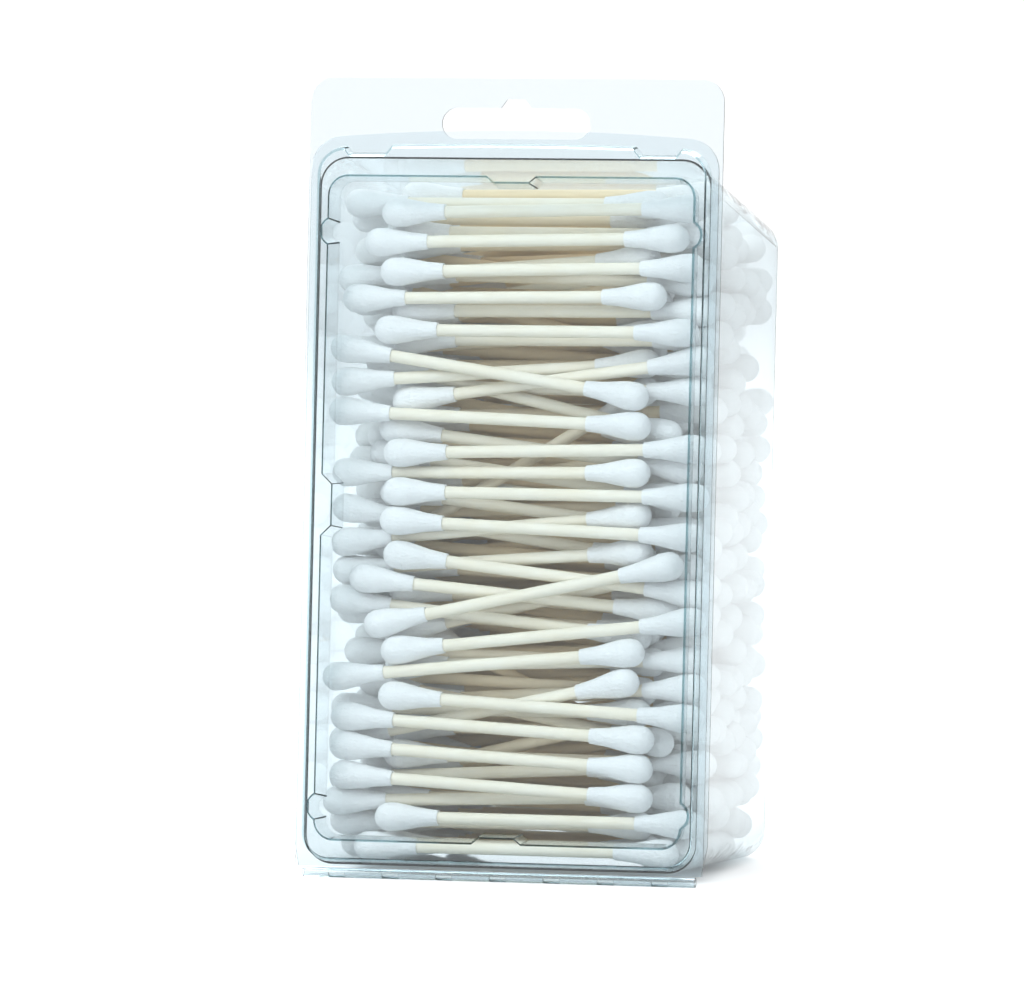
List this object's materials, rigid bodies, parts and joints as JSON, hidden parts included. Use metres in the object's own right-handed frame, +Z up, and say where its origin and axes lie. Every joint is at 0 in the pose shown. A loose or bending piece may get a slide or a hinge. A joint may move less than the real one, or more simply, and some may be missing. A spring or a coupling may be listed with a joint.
{
  "type": "cotton swab tub",
  "caption": "Clear clamshell tub with a hang tab and a front lid on a bottom fold, packed full of paper-stick cotton swabs.",
  "frame": {"origin": "centre of the bounding box's bottom face, on the surface the tub stands on", "axes": "+Z up along the tall side, +X to the right seen from the front, -Y out of the lid"},
  "size_m": [0.0942, 0.0877, 0.1757],
  "materials": {
    "clear_plastic": "clear thermoformed sheet, faintly blue",
    "paper": "matt rolled paper, cream",
    "cotton": "soft white cotton"
  },
  "bodies": {
    "tub_body": {"tub": "clear_plastic", "fold_hinge": "clear_plastic", "paper_sticks_01": "paper", "paper_sticks_02": "paper", "paper_sticks_03": "paper", "paper_sticks_04": "paper", "paper_sticks_05": "paper", "paper_sticks_06": "paper", "paper_sticks_07": "paper", "paper_sticks_08": "paper", "paper_sticks_09": "paper", "paper_sticks_10": "paper", "paper_sticks_11": "paper", "cotton_buds_01": "cotton", "cotton_buds_02": "cotton", "cotton_buds_03": "cotton", "cotton_buds_04": "cotton", "cotton_buds_05": "cotton", "cotton_buds_06": "cotton", "cotton_buds_07": "cotton", "cotton_buds_08": "cotton", "cotton_buds_09": "cotton", "cotton_buds_10": "cotton", "cotton_buds_11": "cotton"},
    "lid_body": {"lid": "clear_plastic"}
  },
  "joints": [
    {"name": "lid_fold", "type": "hinge", "parent": "tub_body", "child": "lid_body", "pos_m": [0, -0.041, 0.0011], "axis": [1, 0, 0], "range_deg": [0, 170]}
  ]
}
